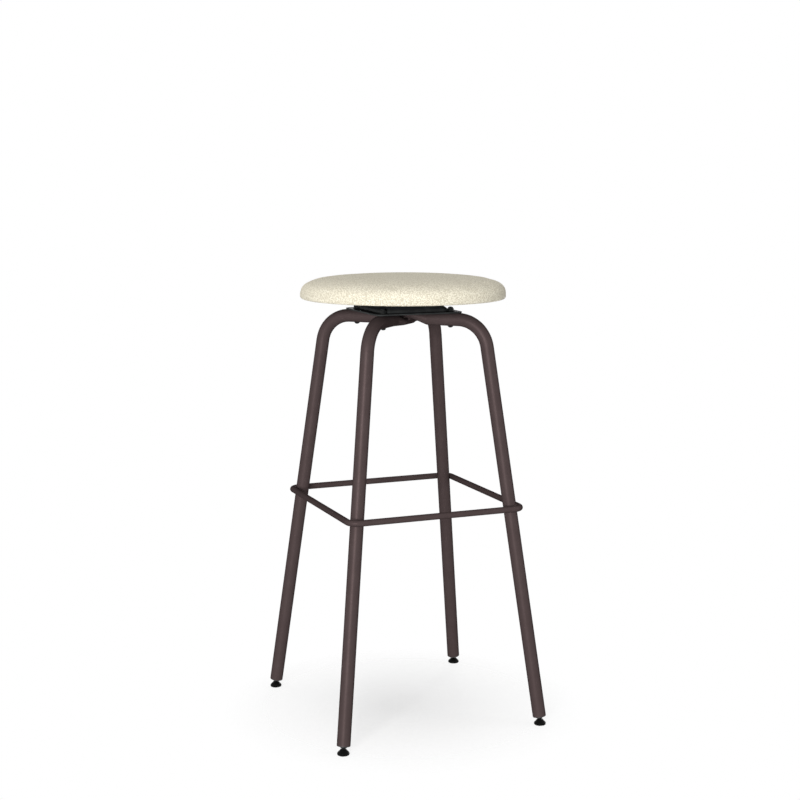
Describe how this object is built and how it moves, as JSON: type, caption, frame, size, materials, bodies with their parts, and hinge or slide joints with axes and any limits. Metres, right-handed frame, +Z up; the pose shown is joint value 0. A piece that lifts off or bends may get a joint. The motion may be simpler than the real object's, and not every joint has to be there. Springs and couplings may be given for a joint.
{
  "type": "swivel spectator stool",
  "caption": "Backless swivel stool at spectator height with a round padded seat, crossed bent-tube legs, a square rod footrest and levelling glides.",
  "frame": {"origin": "on the floor, under the seat's axis", "axes": "+Z up along the seat's axis; -Y is the front, +X the stool's right as seen from the front; the legs stand on the diagonals"},
  "size_m": [0.43, 0.43, 0.8636],
  "materials": {
    "frame_coat": "satin powder coat with a fine grain",
    "plate_coat": "satin black paint",
    "dark_zinc": "dark zinc",
    "bright_zinc": "bright zinc",
    "bushing_nylon": "natural nylon",
    "insert_nylon": "matte black nylon",
    "cage_steel": "greased plain steel",
    "ball_steel": "polished bearing steel",
    "glide_stud_metal": "black oxide",
    "glide_plastic": "glossy black",
    "plywood": "bare birch plywood",
    "foam": "open-cell foam",
    "upholstery": "nubby ivory boucle",
    "dust_cloth": "black non-woven cloth"
  },
  "bodies": {
    "base": {"lower_arch": "frame_coat", "upper_arch": "frame_coat", "crossing_welds": "frame_coat", "footrest_ring": "frame_coat", "footrest_welds": "frame_coat", "leg_insert_front_left": "insert_nylon", "leg_insert_front_right": "insert_nylon", "leg_insert_rear_left": "insert_nylon", "leg_insert_rear_right": "insert_nylon", "lower_swivel_plate": "plate_coat", "plate_bolts": "dark_zinc", "plate_nuts": "dark_zinc", "pivot_bushing": "bushing_nylon"},
    "seat": {"upper_swivel_plate": "plate_coat", "pivot_bolt": "dark_zinc", "pivot_washer": "dark_zinc", "pivot_nut": "dark_zinc", "seat_board": "plywood", "tee_nuts": "bright_zinc", "seat_screws": "dark_zinc", "seat_foam": "foam", "seat_cover": "upholstery", "dust_cover": "dust_cloth", "staples": "bright_zinc"},
    "bearing_cage": {"ball_cage": "cage_steel", "bearing_balls": "ball_steel"},
    "stud_front_left": {"glide_stud_front_left": "glide_stud_metal"},
    "foot_front_left": {"glide_foot_front_left": "glide_plastic"},
    "stud_front_right": {"glide_stud_front_right": "glide_stud_metal"},
    "foot_front_right": {"glide_foot_front_right": "glide_plastic"},
    "stud_rear_left": {"glide_stud_rear_left": "glide_stud_metal"},
    "foot_rear_left": {"glide_foot_rear_left": "glide_plastic"},
    "stud_rear_right": {"glide_stud_rear_right": "glide_stud_metal"},
    "foot_rear_right": {"glide_foot_rear_right": "glide_plastic"}
  },
  "joints": [
    {"name": "seat_swivel", "type": "hinge", "parent": "base", "child": "seat", "pos_m": [0, 0, 0.8135], "axis": [0, 0, 1], "continuous": true},
    {"name": "cage_turn", "type": "hinge", "parent": "base", "child": "bearing_cage", "pos_m": [0, 0, 0.813], "axis": [0, 0, 1], "continuous": true},
    {"name": "levelling_front_left", "type": "slide", "parent": "base", "child": "stud_front_left", "axis": [-0.1109, -0.1109, -0.9876], "range_m": [0, 0.012]},
    {"name": "foot_tilt_front_left", "type": "hinge", "parent": "stud_front_left", "child": "foot_front_left", "pos_m": [-0.20329, -0.20329, 0.0082], "axis": [0.7071, -0.7071, 0], "range_deg": [-24, 6]},
    {"name": "levelling_front_right", "type": "slide", "parent": "base", "child": "stud_front_right", "axis": [0.1109, -0.1109, -0.9876], "range_m": [0, 0.012]},
    {"name": "foot_tilt_front_right", "type": "hinge", "parent": "stud_front_right", "child": "foot_front_right", "pos_m": [0.20329, -0.20329, 0.0082], "axis": [0.7071, 0.7071, 0], "range_deg": [-24, 6]},
    {"name": "levelling_rear_left", "type": "slide", "parent": "base", "child": "stud_rear_left", "axis": [-0.1109, 0.1109, -0.9876], "range_m": [0, 0.012]},
    {"name": "foot_tilt_rear_left", "type": "hinge", "parent": "stud_rear_left", "child": "foot_rear_left", "pos_m": [-0.20329, 0.20329, 0.0082], "axis": [-0.7071, -0.7071, 0], "range_deg": [-24, 6]},
    {"name": "levelling_rear_right", "type": "slide", "parent": "base", "child": "stud_rear_right", "axis": [0.1109, 0.1109, -0.9876], "range_m": [0, 0.012]},
    {"name": "foot_tilt_rear_right", "type": "hinge", "parent": "stud_rear_right", "child": "foot_rear_right", "pos_m": [0.20329, 0.20329, 0.0082], "axis": [-0.7071, 0.7071, 0], "range_deg": [-24, 6]}
  ],
  "couplings": [
    {"joint": "cage_turn", "follows": "seat_swivel", "ratio": 0.5}
  ]
}
